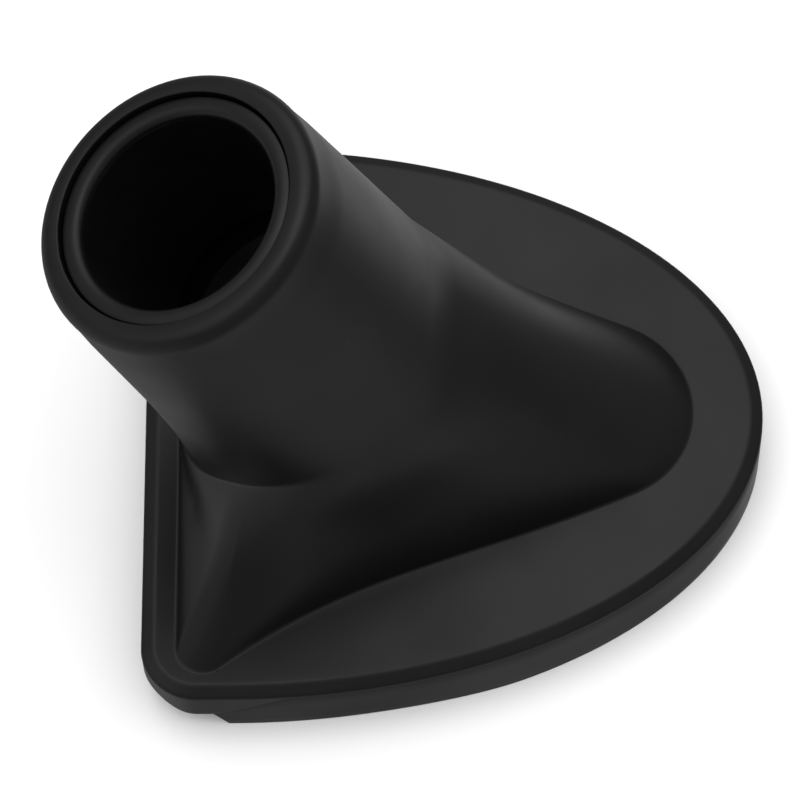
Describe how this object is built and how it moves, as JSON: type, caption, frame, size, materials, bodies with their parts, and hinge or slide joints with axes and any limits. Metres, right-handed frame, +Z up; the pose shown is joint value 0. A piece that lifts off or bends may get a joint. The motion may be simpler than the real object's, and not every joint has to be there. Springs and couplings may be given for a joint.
{
  "type": "dust blower suction hood",
  "caption": "Hose hood with a D-shaped skirted flange, a hollow fairing and a leaning thick-walled tube that holds a hose sleeve.",
  "frame": {"origin": "middle of the bounding box, on the plane that the skirt's lower edge stands on", "axes": "+X from the straight heel edge to the rounded nose, +Y across the flange, +Z up from the base plane"},
  "size_m": [0.1136, 0.1, 0.0939],
  "materials": {
    "hood_rubber": "satin black moulded rubber",
    "skirt_rubber": "matte black moulded rubber",
    "sleeve_plastic": "satin black plastic"
  },
  "bodies": {
    "root": {"hood_shell": "hood_rubber", "base_skirt": "skirt_rubber", "mouth_sleeve": "sleeve_plastic"}
  },
  "joints": []
}
